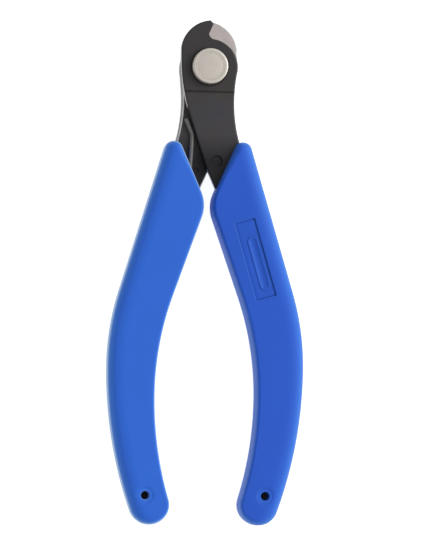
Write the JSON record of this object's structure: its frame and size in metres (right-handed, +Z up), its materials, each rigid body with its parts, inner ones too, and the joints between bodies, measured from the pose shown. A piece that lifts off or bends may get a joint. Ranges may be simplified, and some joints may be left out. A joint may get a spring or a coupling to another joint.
{
  "type": "cutting pliers",
  "caption": "Bypass cutting pliers lying closed: lapped parrot-beak blades on a large rivet, long moulded grips and a wire return spring.",
  "frame": {"origin": "middle of the tool's outline, on the surface that the backs of the grips rest on", "axes": "+Z up along the pivot axis, towards the blade with the visible rivet head; +Y towards the jaws; +X towards the handle with the panel"},
  "size_m": [0.064, 0.1644, 0.012],
  "materials": {
    "blade_steel": "black oxide, satin",
    "rivet_steel": "turned, satin",
    "spring_wire": "drawn wire, dark",
    "grip_blue": "fine moulded texture"
  },
  "bodies": {
    "left_handle": {"back_blade": "blade_steel", "pivot_rivet": "rivet_steel", "left_grip": "grip_blue", "spring_post": "rivet_steel"},
    "right_handle": {"front_blade": "blade_steel", "right_grip": "grip_blue"},
    "spring": {"return_spring": "spring_wire"}
  },
  "joints": [
    {"name": "handle_pivot", "type": "hinge", "parent": "left_handle", "child": "right_handle", "pos_m": [0, 0.0669, 0.006], "axis": [0, 0, 1], "range_deg": [0, 16]},
    {"name": "spring_swing", "type": "hinge", "parent": "left_handle", "child": "spring", "pos_m": [-0.00785, 0.0289, 0.00676], "axis": [0, 0, 1], "range_deg": [-15, 0]}
  ],
  "couplings": [
    {"joint": "spring_swing", "follows": "handle_pivot", "ratio": -0.93}
  ]
}
